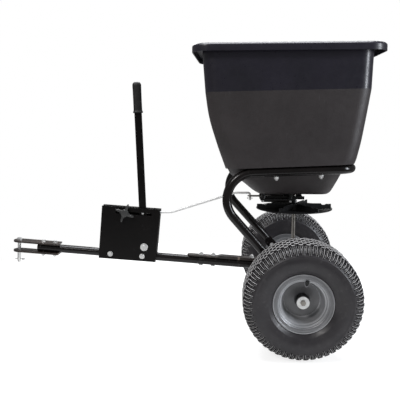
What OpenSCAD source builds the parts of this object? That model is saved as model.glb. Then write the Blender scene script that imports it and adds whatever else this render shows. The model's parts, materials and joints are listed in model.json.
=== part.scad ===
// Tow behind broadcast spreader: plastic hopper on a bent tube hoop, two pneumatic wheels,
// axle-driven spinner, sliding gate worked by a hand lever, and a pin hitch on a long tongue.
// +X points rearwards, +Y to the right of travel, +Z up. The origin is on the ground, in the
// middle of the whole machine. Sub-parts are laid out from the axle and then shifted there.

/* [Wheels] */
// Radius of the tyre over its tread
tyre_r = 184; // [160:1:200]
// Section width of the tyre
tyre_w = 154.6; // [120:0.2:160]
// Distance between the middle planes of the two wheels
track = 600; // [590:1:620]
// Radius of the rim where the tyre bead sits
bead_r = 76.5; // [70:0.5:80]
// Radius of the rim flanges
flange_r = 93; // [90:0.5:96]
// Half the width of the rim over its flanges
rim_half_w = 61.5; // [60:0.5:64]

/* [Axle and gearbox] */
// Radius of the axle
axle_r = 9.5; // [8:0.5:10]
// Outer radius of the static tube around the axle
axle_tube_r = 17; // [16:0.5:19]
// Outer radius of the gearbox case
case_r = 70; // [68:1:74]
// Half the width of the gearbox case
case_half_w = 32; // [31:1:36]
// Number of teeth on the bevel gear of the axle
ring_teeth = 48; // [48:12:48]
// Number of teeth on the bevel pinion of the spinner shaft
pinion_teeth = 12; // [12:1:12]
// Distance from the shared apex to the outer ends of the bevel teeth
cone_r = 57.7; // [56:0.1:58.5]

/* [Frame] */
// Outer radius of the hoop tube
hoop_r = 15; // [12:0.5:16]
// Wall of the hoop tube and of the tongue
tube_wall = 2; // [1.5:0.1:3]
// Height of the centre of the hoop's top run where its front bend starts
hoop_z = 562.6; // [558:0.1:570]
// Angle at which the hoop's top run rises rearwards
hoop_tilt = 2.5; // [2:0.1:3]
// Half the spacing of the hoop's two top runs
hoop_half_w = 176; // [174:1:178]
// Centre radius of the large bend at the front of the hoop
bend_r = 88.4; // [86:0.1:92]
// Angle that the front bend turns through
bend_angle = 129; // [127:0.5:131]
// Outward lean of the legs
leg_splay = 4.1; // [3.5:0.1:4.4]
// Length of the straight part of each leg
leg_len = 281.7; // [270:0.1:284]

/* [Tongue] */
// Outer radius of the tongue tube
tongue_r = 15; // [13:0.5:16]
// Angle at which the tongue rises towards the hitch
tongue_slope = 3.776; // [3:0.1:5]
// Height at which the line of the tongue passes over the axle
tongue_z = 202; // [198:1:206]
// Distance from the axle to the nose of the hitch plates
nose_s = 1037; // [1000:1:1100]
// Thickness of the hitch plates
hitch_t = 6; // [4:0.5:8]
// Width of the hitch plates
hitch_w = 48; // [44:1:60]
// Radius of the hitch pin
hitch_pin_r = 6; // [5:0.5:7]

/* [Control] */
// Angle at which the hand lever leans forwards
lever_lean = 1.9; // [0:0.1:4]
// Length of the lever from its pivot to its tip
lever_len = 593; // [500:1:620]
// Width of the lever bar
lever_w = 26; // [22:1:28]
// Thickness of the lever bar
lever_t = 6; // [5:0.5:7]
// Distance from the pivot to the control rod's hole
rod_arm = 124.4; // [120:0.1:128]
// Radius of the control rod
rod_r = 4; // [3:0.5:4.5]

/* [Hopper] */
// Height of the hopper's top edge
rim_z = 970; // [960:1:980]
// Half the width of the hopper over its lip
rim_half_w_y = 225; // [220:1:230]
// Distance from the axle to the front of the lip
rim_front = 351; // [345:1:355]
// Distance from the axle to the rear of the lip
rim_rear = 260; // [255:1:265]
// Wall of the hopper
wall = 4; // [3:0.5:5]

/* [Spreading] */
// Radius of the spinner
spinner_r = 134; // [120:1:136]
// Number of vanes on the spinner
vanes = 6; // [4:1:8]
// Radius of the spinner shaft
shaft_r = 6.35; // [6:0.05:7]

/* [Hidden] */
$fn = 64;

eps = 0.1;            // how far a cutter runs past the face it cuts
hole_gap = 0.2;       // radial room of a bolt in its hole
run_gap = 0.07;       // radial room of a shaft in its bushing
axle_z = tyre_r;
front_x = -(nose_s * cos(tongue_slope) + (tongue_r + hitch_t) * sin(tongue_slope));
origin_shift = -(front_x + rim_rear) / 2;

// ---- shared frames ----

module from_axle() translate([origin_shift, 0, 0]) children();

// Local x runs along the tongue, rearwards; local z is square to it.
module on_tongue()
    from_axle() translate([0, 0, tongue_z]) rotate([0, tongue_slope, 0]) children();

pivot_s = -544;
pivot_h = 35;

// Local z runs up the lever from its pivot.
module on_lever()
    on_tongue() translate([pivot_s, 0, pivot_h])
        rotate([0, -tongue_slope - lever_lean, 0]) children();

// The wheel on one side: local y points outboard from the wheel's middle plane.
module at_wheel(side)
    from_axle() translate([0, side * track / 2, axle_z]) scale_y(side) children();

module scale_y(side) {
    if (side < 0) mirror([0, 1, 0]) children();
    else children();
}

// ---- shared shapes ----

module tube_z(r_out, r_in, z0, z1)
    translate([0, 0, z0]) difference() {
        cylinder(r = r_out, h = z1 - z0);
        translate([0, 0, -eps]) cylinder(r = r_in, h = z1 - z0 + 2 * eps);
    }

module tube_y(r_out, r_in, y0, y1) rotate([-90, 0, 0]) tube_z(r_out, r_in, y0, y1);

module rod_z(r, z0, z1) translate([0, 0, z0]) cylinder(r = r, h = z1 - z0);

module rod_y(r, y0, y1) rotate([-90, 0, 0]) rod_z(r, y0, y1);

// A flat bar outline with round ends, from p to q.
module stadium(p, q, r) {
    d = q - p;
    translate(p) circle(r = r);
    translate(q) circle(r = r);
    translate(p) rotate(atan2(d.y, d.x)) translate([0, -r]) square([norm(d), 2 * r]);
}

// An outline drawn in x and z, given a thickness from y0 to y1.
module slab_y(y0, y1)
    translate([0, y1, 0]) rotate([90, 0, 0]) linear_extrude(height = y1 - y0) children();

function hex_r(r) = 1.88 * r;

// Hex bolt with two washers and a nut: the head's washer lies on z = 0, the joint is below.
module fastener(r, grip, tail = 4, head = 1.3) {
    washer_t = 0.4 * r;
    head_t = head * r;
    nut_t = 1.6 * r;
    rod_z(r, -grip - washer_t - nut_t - tail, washer_t);
    translate([0, 0, washer_t]) cylinder(r = hex_r(r), h = head_t, $fn = 6);
    tube_z(2.1 * r, r, 0, washer_t);
    tube_z(2.1 * r, r, -grip - washer_t, -grip);
    translate([0, 0, -grip - washer_t - nut_t]) cylinder(r = hex_r(r), h = nut_t, $fn = 6);
}

// ---- hopper ----

corner_steps = 6;

// A rounded rectangle of points on the plane of one row.
function ring(row) =
    let (front = row[1], rear = row[2], half_w = row[3], r = row[4])
    [
        for (c = [0:3], i = [0:corner_steps])
            let (
                a = 90 * c + 90 * i / corner_steps,
                x = ((c == 0 || c == 3) ? rear - r : front + r) + r * cos(a),
                y = ((c < 2) ? half_w - r : r - half_w) + r * sin(a)
            )
            [x, y, row[0] + row[5] * x]
    ];

hoop_rear_x = 170;
hoop_bend_x = -151.5;

// Height of the hoop's top run at x, and of the shelf that lies on it.
function run_z(x) = hoop_z + tan(hoop_tilt) * (x - hoop_bend_x);
shelf_gap = 0.4;
shelf_z = run_z(0) + hoop_r / cos(hoop_tilt) + shelf_gap;
shelf_rise = tan(hoop_tilt);

// Outside of the hopper from its floor to its lip: height, front, rear, half width, corner
// and how much the row rises with x.
hopper_outside = [
    [484, -132, 106, 102, 36, 0],
    [489, -141, 113, 108, 40, 0],
    [497, -152, 119, 114, 44, 0.005],
    [530, -187, 135, 136, 52, 0.02],
    [556, -226, 147, 148, 55, 0.03],
    [shelf_z, -239, 152, 152, 55, shelf_rise],
    [shelf_z, -242, 178, 192, 52, shelf_rise],
    [600.6, -248, 183, 193, 50, 0.04],
    [655, -268, 195, 194, 48, 0.035],
    [748, -298, 209, 195, 46, 0.026],
    [826.2, -309, 220, 196, 45, 0.018],
    [925, -317, 222, 197, 44, 0]
];
floor_t = 4.5;
shelf_t = 4;
lip_drop = 25;

// The wall's inside is the same outline drawn in by the wall.
function inset_row(row, dz) =
    [row[0] + dz, row[1] + wall, row[2] - wall, row[3] - wall, row[4] - wall / 2, row[5]];

lip_rings = [
    [rim_z - wall, -318, 223, 198, 44, 0],
    [rim_z - wall, wall - rim_front, rim_rear - wall, rim_half_w_y - wall, 58, 0],
    [rim_z - lip_drop, wall - rim_front, rim_rear - wall, rim_half_w_y - wall, 58, 0],
    [rim_z - lip_drop, -rim_front, rim_rear, rim_half_w_y, 62, 0],
    [rim_z - wall, -rim_front, rim_rear, rim_half_w_y, 62, 0],
    [rim_z, wall - rim_front, rim_rear - wall, rim_half_w_y - wall, 58, 0],
    [rim_z, -314, 219, 194, 42, 0]
];
last_outside = len(hopper_outside) - 1;
shelf_row = 6;
hopper_inside = [
    for (i = [last_outside:-1:0])
        i == 0 ? inset_row(hopper_outside[0], floor_t)
        : inset_row(hopper_outside[i], i == shelf_row || i == shelf_row - 1 ? shelf_t : 2)
];

module loft(rows) {
    rings = [for (row = rows) ring(row)];
    n = len(rings[0]);
    last = len(rings) - 1;
    polyhedron(
        points = [for (r = rings) each r],
        faces = concat(
            [[for (j = [0:n - 1]) j]],
            [
                for (i = [0:last - 1], j = [0:n - 1], half = [0, 1])
                    let (a = i * n + j, b = i * n + (j + 1) % n)
                    half == 0 ? [a, a + n, b + n] : [a, b + n, b]
            ],
            [[for (j = [n - 1:-1:0]) last * n + j]]
        )
    );
}

hopper_bolt_x = [-76, 67];
outlet_x0 = -80;
outlet_x1 = -46;
outlet_half_w = 28;
collar_wall = 5;
collar_z = 465.3;
gate_bolt_x = [-112, -18];
gate_bolt_y = 54;
floor_z = hopper_outside[0][0];

module box(x0, x1, y0, y1, z0, z1) translate([x0, y0, z0]) cube([x1 - x0, y1 - y0, z1 - z0]);

module hopper() color([0.14, 0.14, 0.15]) from_axle() {
    difference() {
        union() {
            loft(concat(hopper_outside, lip_rings, hopper_inside));
            box(outlet_x0 - collar_wall, outlet_x1 + collar_wall,
                -outlet_half_w - collar_wall, outlet_half_w + collar_wall, collar_z, floor_z + 1);
        }
        box(outlet_x0, outlet_x1, -outlet_half_w, outlet_half_w, collar_z - 1, floor_z + 10);
        rod_z(upper_bush_r, floor_z - 2, floor_z + 10);
        for (x = hopper_bolt_x, y = [-1, 1] * hoop_half_w)
            translate([x, y, 0]) rod_z(4 + hole_gap, shelf_z - 15, shelf_z + 15);
        for (x = gate_bolt_x, y = [-1, 1] * gate_bolt_y)
            translate([x, y, 0]) rod_z(2.5 + hole_gap, floor_z - 2, floor_z + 10);
    }
}

// ---- hoop frame ----

hoop_corner_r = 52;

bend_swell = 0.15;    // how much fuller the tube is in its bends
lap = 0.5;            // how far a straight run reaches into a bend

// A straight length of pipe along +X, from lap before the origin to lap past len.
module pipe_run(r, len) translate([-lap, 0, 0]) rotate([0, 90, 0]) cylinder(r = r, h = len + 2 * lap);

// A bend of a pipe about the origin, in the x, y plane, starting on +X.
module pipe_bend(r, bend, angle)
    rotate_extrude(angle = angle) translate([bend, 0]) circle(r = r + bend_swell);

// Where a leg starts below the end of its top run, before its outward lean.
module at_leg_start()
    translate([-bend_r * sin(bend_angle), 0, bend_r * (cos(bend_angle) - 1)])
        rotate([0, 180 - bend_angle, 0]) children();

// Local x runs rearwards up the top run, from where the front bends start.
module on_hoop()
    from_axle() translate([hoop_bend_x, 0, hoop_z]) rotate([0, -hoop_tilt, 0]) children();

run_len = (hoop_rear_x - hoop_bend_x) / cos(hoop_tilt) - hoop_corner_r;

// The whole hoop as a solid bar of radius r.
module hoop_bar(r) on_hoop() {
    for (side = [-1, 1]) {
        translate([0, side * hoop_half_w, 0]) {
            pipe_run(r, run_len);
            rotate([side * leg_splay, 0, 0]) {
                rotate([90, 0, 0]) translate([0, -bend_r, 0]) rotate([0, 0, 90])
                    pipe_bend(r, bend_r, bend_angle);
                at_leg_start() pipe_run(r, leg_len);
            }
        }
        translate([run_len, side * (hoop_half_w - hoop_corner_r), 0])
            rotate([0, 0, side < 0 ? -90 : 0]) pipe_bend(r, hoop_corner_r, 90);
    }
    translate([run_len + hoop_corner_r, hoop_corner_r - hoop_half_w, 0])
        rotate([0, 0, 90]) pipe_run(r, 2 * (hoop_half_w - hoop_corner_r));
}

// Local x along the straight leg of one side, starting where the front bend ends.
module on_leg(side)
    on_hoop() translate([0, side * hoop_half_w, 0]) rotate([side * leg_splay, 0, 0])
        at_leg_start() children();

leg_bolts = [226, 261];         // along the leg from the end of the bend
plate_ends = [209.7, 253.7];    // where the plate's arm is rounded, along the leg

module hopper_frame() color([0.04, 0.04, 0.045]) difference() {
    hoop_bar(hoop_r);
    hoop_bar(hoop_r - tube_wall);
    for (side = [-1, 1]) on_leg(side) translate([leg_len, 0, 0]) box(0, 2, -20, 20, -20, 20);
    for (x = hopper_bolt_x, y = [-1, 1] * hoop_half_w)
        from_axle() translate([x, y, run_z(x)]) rod_z(4 + hole_gap, -30, 30);
    for (side = [-1, 1], s = leg_bolts)
        on_leg(side) translate([s, 0, 0]) rod_y(4 + hole_gap, -40, 40);
}

module hopper_bolts() color([0.75, 0.75, 0.77]) from_axle()
    for (x = hopper_bolt_x, y = [-1, 1] * hoop_half_w)
        translate([x, y, shelf_z + shelf_rise * x + shelf_t + 0.4])
            fastener(4, shelf_t + 2 * hoop_r + 1.4, tail = 4);

// ---- bearing plates and axle tubes ----

plate_in = 176;
plate_out = 181;

// A point of the leg's centre line, s along it: how far back and how far below the top run.
function leg_back(s) = -bend_r * sin(bend_angle) - s * cos(bend_angle);
function leg_down(s) = bend_r * (1 - cos(bend_angle)) + s * sin(bend_angle);

// The same point as x and height above the axle, and its distance from the middle plane.
function leg_point(s) =
    let (back = leg_back(s), down = leg_down(s) * cos(leg_splay))
    [
        hoop_bend_x + back * cos(hoop_tilt) + down * sin(hoop_tilt),
        hoop_z + back * sin(hoop_tilt) - down * cos(hoop_tilt) - axle_z
    ];
function leg_y(s) = hoop_half_w + leg_down(s) * sin(leg_splay);

module bearing_plate(side) difference() {
    from_axle() translate([0, 0, axle_z]) scale_y(side) difference() {
        slab_y(plate_in, plate_out) {
            stadium([0, 0], leg_point(plate_ends[1]), 27);
            stadium(leg_point(plate_ends[1]), leg_point(plate_ends[0]), 17);
        }
        rod_y(axle_tube_r, plate_in - 1, plate_out + 1);
    }
    for (s = leg_bolts) on_leg(side) translate([s, 0, 0]) rod_y(4 + hole_gap, -40, 40);
}

module bearing_plate_left() color([0.06, 0.06, 0.065]) bearing_plate(-1);
module bearing_plate_right() color([0.06, 0.06, 0.065]) bearing_plate(1);

module bearing_plate_bolts() color([0.75, 0.75, 0.77])
    for (side = [-1, 1], s = leg_bolts)
        on_leg(side) translate([s, side * (hoop_r + 0.2), 0]) rotate([-90 * side, 0, 0])
            fastener(4, hoop_r + leg_y(s) - plate_in + 0.9, tail = 3);

bush_r = 13.5;
tube_in_y = 34;
tube_out_y = 186;

module axle_tube(side) from_axle() translate([0, 0, axle_z]) scale_y(side)
    tube_y(axle_tube_r, bush_r, tube_in_y, tube_out_y);

module axle_tube_left() color([0.08, 0.08, 0.085]) axle_tube(-1);
module axle_tube_right() color([0.08, 0.08, 0.085]) axle_tube(1);

module axle_bushings() color([0.85, 0.84, 0.80]) from_axle() translate([0, 0, axle_z])
    for (side = [-1, 1]) scale_y(side) {
        tube_y(bush_r, axle_r + run_gap, tube_out_y - 26, tube_out_y);
        tube_y(axle_tube_r, axle_r + run_gap, tube_out_y, tube_out_y + 2.5);
    }

// ---- gearbox ----

case_wall = 5;
boss_r = 17;
boss_top = 101;
bush_low_r = 10;
snout_r = 22;
snout_end = -122;
lug_r = 9;
lug_pitch_r = 78;
lug_angles = [45, 135, 225, 315];
snout_bolts = [-84, -108];

module gearbox_half(side) scale_y(side) difference() {
    union() {
        from_axle() translate([0, 0, axle_z]) {
            rod_y(case_r, 0, case_half_w);
            rod_y(24, 0, case_half_w + 20);
            intersection() {
                rod_z(boss_r, 55, boss_top);
                box(-30, 30, 0, 30, 0, 120);
            }
            for (a = lug_angles)
                rotate([0, a, 0]) slab_y(0, 12) stadium([60, 0], [lug_pitch_r, 0], lug_r);
        }
        intersection() {
            on_tongue() translate([snout_end, 0, 0]) rotate([0, 90, 0]) rod_z(snout_r, 0, 60);
            from_axle() box(-200, 0, 0, 40, 100, 300);
        }
    }
    from_axle() translate([0, 0, axle_z]) {
        rod_y(case_r - case_wall, -eps, case_half_w - case_wall);
        rod_y(axle_r + 1.5, 0, case_half_w + 21);
        rod_y(axle_tube_r, tube_in_y, case_half_w + 21);
        rod_z(bush_low_r, 50, boss_top + 1);
        for (a = lug_angles)
            rotate([0, a, 0]) translate([lug_pitch_r, 0, 0]) rod_y(3 + hole_gap, -1, 13);
    }
    on_tongue() {
        translate([snout_end - 1, 0, 0]) rotate([0, 90, 0]) rod_z(tongue_r, 0, 70);
        for (s = snout_bolts) translate([s, 0, 0]) rod_y(4 + hole_gap, -1, 40);
    }
}

module gearbox_half_left() color([0.16, 0.16, 0.17]) gearbox_half(-1);
module gearbox_half_right() color([0.16, 0.16, 0.17]) gearbox_half(1);

module gearbox_bolts() color([0.75, 0.75, 0.77]) {
    from_axle() translate([0, 0, axle_z]) for (a = lug_angles)
        rotate([0, a, 0]) translate([lug_pitch_r, -12, 0]) rotate([90, 0, 0]) fastener(3, 24, tail = 3);
    on_tongue() for (s = snout_bolts)
        translate([s, -snout_r, 0]) rotate([90, 0, 0]) fastener(4, 2 * snout_r, tail = 3);
}

module shaft_bushing_lower() color([0.85, 0.84, 0.80]) from_axle() translate([0, 0, axle_z])
    tube_z(bush_low_r, shaft_r + run_gap, case_r - case_wall + 2, boss_top + 2);

// ---- bevel gears ----

pinion_cone = atan(pinion_teeth / ring_teeth);
ring_cone = 90 - pinion_cone;
tooth_in_r = 41.5;
addendum = 1.8;         // degrees of cone angle
dedendum = 2.6;
root_bury = 1.2;

function on_cone(r, angle, az) =
    [r * sin(angle) * cos(az), r * sin(angle) * sin(az), r * cos(angle)];

// One straight bevel tooth on +Z, centred on azimuth 0; half_arc is its half thickness
// on the pitch cone in degrees of arc, and taper is what it gains below that.
module bevel_tooth(cone, half_arc, taper) {
    root = cone - dedendum - root_bury;
    tip = cone + addendum;
    wr = (half_arc + taper) / sin(cone);
    wt = (half_arc - taper / 2) / sin(cone);
    polyhedron(
        points = [
            for (r = [tooth_in_r, cone_r])
                each [on_cone(r, root, -wr), on_cone(r, root, wr), on_cone(r, tip, wt),
                      on_cone(r, tip, -wt)]
        ],
        faces = [[4, 5, 6, 7], [3, 2, 1, 0], [0, 1, 5, 4], [3, 7, 6, 2], [1, 2, 6, 5], [0, 4, 7, 3]]
    );
}

pitch_arc = 360 * sin(pinion_cone) / pinion_teeth;
half_tooth = 0.19 * pitch_arc;
tooth_taper = 0.11 * pitch_arc;

module pinion() color([0.6, 0.6, 0.62]) from_axle() translate([0, 0, axle_z]) difference() {
    root = pinion_cone - dedendum;
    union() {
        for (i = [0:pinion_teeth - 1])
            rotate([0, 0, 360 * i / pinion_teeth]) bevel_tooth(pinion_cone, half_tooth, tooth_taper);
        rotate_extrude() polygon([
            [0, tooth_in_r * cos(root)], [tooth_in_r * sin(root), tooth_in_r * cos(root)],
            [cone_r * sin(root), cone_r * cos(root)], [cone_r * sin(root), 63], [0, 63]
        ]);
    }
    rod_z(shaft_r, 0, 80);
}

ring_back = 22;
ring_hub_r = 18;
ring_hub_end = 26.5;

module ring_gear() color([0.6, 0.6, 0.62]) from_axle() translate([0, 0, axle_z])
    rotate([-90, 0, 0]) difference() {
        root = ring_cone - dedendum;
        union() {
            for (i = [0:ring_teeth - 1])
                rotate([0, 0, 360 * (i + 0.5) / ring_teeth])
                    bevel_tooth(ring_cone, half_tooth, tooth_taper);
            rotate_extrude() polygon([
                [0, tooth_in_r * cos(root)], [tooth_in_r * sin(root), tooth_in_r * cos(root)],
                [cone_r * sin(root), cone_r * cos(root)], [cone_r * sin(root), ring_back],
                [ring_hub_r, ring_back], [ring_hub_r, ring_hub_end], [0, ring_hub_end]
            ]);
            rod_z(ring_hub_r, -18, 20);
        }
        rod_z(axle_r, -30, 40);
        translate([0, 0, -11]) rotate([0, 90, 0]) rod_z(2.5, -40, 40);
    }

module ring_gear_pin() color([0.75, 0.75, 0.77]) from_axle() translate([0, -11, axle_z])
    rotate([0, 90, 0]) rod_z(2.5, -ring_hub_r - 1, ring_hub_r + 1);

// ---- axle ----

axle_end = track / 2 + 44.5;
drive_pin_y = -(track / 2 - 41);
end_thread_r = 4;
end_thread_len = 20;

module axle_shaft() color([0.7, 0.7, 0.72]) from_axle() translate([0, 0, axle_z]) difference() {
    rod_y(axle_r, -axle_end, axle_end);
    for (side = [-1, 1])
        scale_y(side) rod_y(end_thread_r, axle_end - end_thread_len, axle_end + 1);
    translate([0, -11, 0]) rotate([0, 90, 0]) rod_z(2.5, -20, 20);
    translate([0, drive_pin_y, 0]) rod_z(3, -20, 20);
}

spacer_in = tube_out_y + 3.5;
hub_in = -48;
hub_out = 44;

module axle_spacers() color([0.7, 0.7, 0.72]) from_axle() translate([0, 0, axle_z])
    for (side = [-1, 1])
        scale_y(side) tube_y(14, axle_r, spacer_in, track / 2 + hub_in - 0.5);

module drive_pin() color([0.75, 0.75, 0.77]) from_axle() translate([0, drive_pin_y, axle_z]) {
    rod_z(3, -25, 22);
    rod_z(6, 20.2, 24);
}

module axle_end_washers() color([0.78, 0.78, 0.80]) from_axle() translate([0, 0, axle_z])
    for (side = [-1, 1]) scale_y(side) tube_y(19.5, end_thread_r, axle_end, axle_end + 2.5);

module axle_end_bolts() color([0.78, 0.78, 0.80]) from_axle() translate([0, 0, axle_z])
    for (side = [-1, 1]) scale_y(side) {
        rod_y(end_thread_r, axle_end - end_thread_len + 2, axle_end + 4);
        rotate([-90, 0, 0]) translate([0, 0, axle_end + 2.5]) cylinder(r = 8.6, h = 5.5, $fn = 6);
    }

// ---- wheels ----

hub_r = 20;
disc_y0 = 3;
disc_y1 = 7;
valve_r = 66;
valve_angle = 9;

function mirrored(points) =
    concat(points, [for (i = [len(points) - 1:-1:0]) [points[i].x, -points[i].y]]);

rim_tyre_side = [[flange_r, 59], [bead_r + 2, 59], [bead_r, 56], [bead_r, 41], [62, 34]];
rim_air_side = [
    [flange_r, rim_half_w], [78, rim_half_w], [bead_r - 2.5, 57.5], [bead_r - 2.5, 42.5], [59.5, 35.5]
];

// Rim and hub in one, turned about the axle; local y points outboard.
module rim(side) at_wheel(side) difference() {
    union() {
        rotate([-90, 0, 0]) rotate_extrude($fn = 96) {
            polygon(concat(
                mirrored(rim_tyre_side),
                [for (p = [for (i = [0:4]) rim_air_side[i]]) [p.x, -p.y]],
                [for (i = [4:-1:0]) rim_air_side[i]]
            ));
            polygon([[hub_r - 1, disc_y0], [60, disc_y0], [60, disc_y1], [hub_r - 1, disc_y1]]);
        }
        rod_y(hub_r, hub_in, hub_out);
    }
    rod_y(bush_r, hub_in - 1, hub_out + 1);
    rotate([0, valve_angle, 0]) translate([0, 0, valve_r]) rod_y(3.5, 20, 60);
    if (side < 0) translate([0, -drive_pin_y - track / 2, 0]) rod_z(3, -40, 40);
}

module rim_left() color([0.72, 0.73, 0.75]) rim(-1);
module rim_right() color([0.72, 0.73, 0.75]) rim(1);

half_w = tyre_w / 2;
tyre_outside = [
    [bead_r, 42], [bead_r, 56], [bead_r + 2, 59], [flange_r, 59], [97, 64], [110, half_w - 5],
    [128, half_w], [150, half_w], [163, half_w - 5], [173, half_w - 13], [180, half_w - 19],
    [tyre_r, half_w - 28]
];
tyre_inside = [
    [tyre_r - 11, 38], [168, 52], [160, 61], [150, 68], [130, 68.5], [112, 63], [98, 55],
    [87, 51], [84, 42]
];

module tyre(side) at_wheel(side) rotate([-90, 0, 0]) rotate_extrude($fn = 96) polygon(concat(
    tyre_outside,
    [for (i = [len(tyre_outside) - 1:-1:0]) [tyre_outside[i].x, -tyre_outside[i].y]],
    [for (i = [len(tyre_inside) - 1:-1:0]) [tyre_inside[i].x, -tyre_inside[i].y]],
    tyre_inside
));

module tyre_left() color([0.10, 0.10, 0.11]) tyre(-1);
module tyre_right() color([0.10, 0.10, 0.11]) tyre(1);

module valve(side) at_wheel(side) rotate([0, valve_angle, 0]) translate([0, 0, valve_r]) {
    rod_y(3.5, 30, 52);
    rod_y(4.5, 52, 58);
}

module valve_left() color([0.05, 0.05, 0.05]) valve(-1);
module valve_right() color([0.05, 0.05, 0.05]) valve(1);

module hub_bushings(side) at_wheel(side) {
    tube_y(bush_r, axle_r + run_gap, hub_in, hub_in + 22);
    tube_y(bush_r, axle_r + run_gap, hub_out - 22, hub_out);
}

module hub_bushings_left() color([0.12, 0.12, 0.12]) difference() {
    hub_bushings(-1);
    from_axle() translate([0, drive_pin_y, axle_z]) rod_z(3, -40, 40);
}
module hub_bushings_right() color([0.12, 0.12, 0.12]) hub_bushings(1);

// ---- tongue and hitch ----

tongue_front = -944;
tongue_rear = -68;
hitch_bolts_s = [-925, -882];
strut_bolts_s = [-334, -290, -150];
box_bolts_s = [-668, -550];
hitch_pin_s = -1017;

module tongue_tube() color([0.04, 0.04, 0.045]) on_tongue() difference() {
    translate([tongue_front, 0, 0]) rotate([0, 90, 0])
        tube_z(tongue_r, tongue_r - tube_wall, 0, tongue_rear - tongue_front);
    for (s = concat(hitch_bolts_s, strut_bolts_s))
        translate([s, 0, 0]) rod_z(4 + hole_gap, -30, 30);
    for (s = concat(box_bolts_s, snout_bolts))
        translate([s, 0, 0]) rod_y(4 + hole_gap, -30, 30);
}

strut_half_w = 14;

// Doubler bar on top of the tongue, thinner at its pressed front end.
module tongue_strut() color([0.05, 0.05, 0.055]) on_tongue() difference() {
    intersection() {
        slab_y(-strut_half_w, strut_half_w) polygon([
            [-385, tongue_r], [-126, tongue_r], [-126, tongue_r + 10], [-262, tongue_r + 10],
            [-278, tongue_r + 5], [-385, tongue_r + 5]
        ]);
        translate([0, 0, tongue_r - 1]) linear_extrude(height = 14)
            stadium([-385 + strut_half_w, 0], [-120, 0], strut_half_w);
    }
    for (s = strut_bolts_s) translate([s, 0, 0]) rod_z(4 + hole_gap, 0, 40);
}

// Bolts go up from below the tongue, with their nuts on top.
module strut_bolts() color([0.75, 0.75, 0.77]) on_tongue() for (s = strut_bolts_s) {
    strut_t = s > -262 ? 10 : 5;
    translate([s, 0, -tongue_r]) rotate([180, 0, 0]) fastener(4, 2 * tongue_r + strut_t, tail = 3, head = 0.5);
}

module hitch_plate(z0) on_tongue() difference() {
    translate([0, 0, z0]) linear_extrude(height = hitch_t) {
        translate([hitch_w / 2 - nose_s, 0]) circle(d = hitch_w);
        translate([hitch_w / 2 - nose_s, -hitch_w / 2]) square([nose_s - hitch_w / 2 - 862, hitch_w]);
    }
    translate([hitch_pin_s, 0, 0]) rod_z(hitch_pin_r + 0.5, z0 - 1, z0 + hitch_t + 1);
    for (s = hitch_bolts_s) translate([s, 0, 0]) rod_z(4 + hole_gap, z0 - 1, z0 + hitch_t + 1);
}

module hitch_plate_upper() color([0.05, 0.05, 0.055]) hitch_plate(tongue_r);
module hitch_plate_lower() color([0.05, 0.05, 0.055]) hitch_plate(-tongue_r - hitch_t);

module hitch_bolts() color([0.75, 0.75, 0.77]) on_tongue() for (s = hitch_bolts_s)
    translate([s, 0, tongue_r + hitch_t]) fastener(4, 2 * (tongue_r + hitch_t), tail = 4);

clip_h = -54;
clip_r = 1.5;
pin_tip = -63;

module hitch_pin() color([0.78, 0.78, 0.80]) on_tongue() translate([hitch_pin_s, 0, 0]) difference() {
    union() {
        rod_z(hitch_pin_r, pin_tip, tongue_r + hitch_t + 3);
        rod_z(10.5, tongue_r + hitch_t + 0.3, tongue_r + hitch_t + 5);
        rod_z(8, tongue_r + hitch_t + 5, tongue_r + hitch_t + 8);
    }
    translate([0, 0, clip_h]) rotate([0, 90, 0]) rod_z(clip_r + 0.3, -20, 20);
}

clip_loop_r = 6;
clip_leg = 13;

clip_flare = 188;           // angle of the loop, so that the free leg closes on the pin

// Hairpin clip: one leg through the pin, a round loop behind it, the other leg along its side.
module hitch_clip() color([0.78, 0.78, 0.80]) on_tongue() translate([hitch_pin_s, 0, clip_h]) {
    translate([-16, 0, 0]) pipe_run(clip_r, 16 + clip_leg - lap);
    translate([clip_leg, clip_loop_r, 0]) {
        rotate([0, 0, -90]) rotate_extrude(angle = clip_flare)
            translate([clip_loop_r, 0]) circle(r = clip_r + 0.06);
        rotate([0, 0, clip_flare - 90]) translate([clip_loop_r, 0, 0])
            rotate([0, 0, 90]) pipe_run(clip_r, 27);
    }
}

// ---- control box, lever and stop ----

box_in = tongue_r;
plate_t = 3;
box_out = box_in + plate_t;
slot_h = 156.5;
slot_s = [-651, -527];
stop_s = -620;
stop_r = 4;
pivot_r = 5;
rear_flange = 9;
top_flange = 13;
box_corners = [[-711, -19], [-499, -18], [-493, 177], [-706, 177]];

module control_plate() difference() {
    union() {
        slab_y(box_in, box_out) polygon(box_corners);
        slab_y(box_in - rear_flange, box_in)
            polygon([[-502, 17], [-499, 17], [-493, 177], [-496, 177]]);
    }
    for (s = box_bolts_s) translate([s, 0, 0]) rod_y(4 + hole_gap, box_in - 1, box_out + 1);
    translate([pivot_s, 0, pivot_h]) rod_y(pivot_r + hole_gap, box_in - 1, box_out + 1);
}

// The left plate has the long slot in which the stop is set.
module control_plate_left() color([0.04, 0.04, 0.045]) on_tongue() difference() {
    scale_y(-1) control_plate();
    translate([0, 0, slot_h]) slab_y(-box_out - 1, -box_in + 1)
        stadium([slot_s[0], 0], [slot_s[1], 0], stop_r + 0.4);
}

// The right plate also closes part of the top.
module control_plate_right() color([0.04, 0.04, 0.045]) on_tongue() union() {
    control_plate();
    slab_y(box_in - top_flange, box_in)
        polygon([[-706, 174], [-520, 174], [-520, 177], [-706, 177]]);
}

module control_bolts() color([0.78, 0.78, 0.80]) on_tongue() for (s = box_bolts_s)
    translate([s, -box_out, 0]) rotate([90, 0, 0]) {
        fastener(4, 2 * box_out, tail = 3);
        tube_z(9.8, 4, 0, 1.6);
    }

lever_y = -9;
lever_gap = 0.3;

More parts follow.
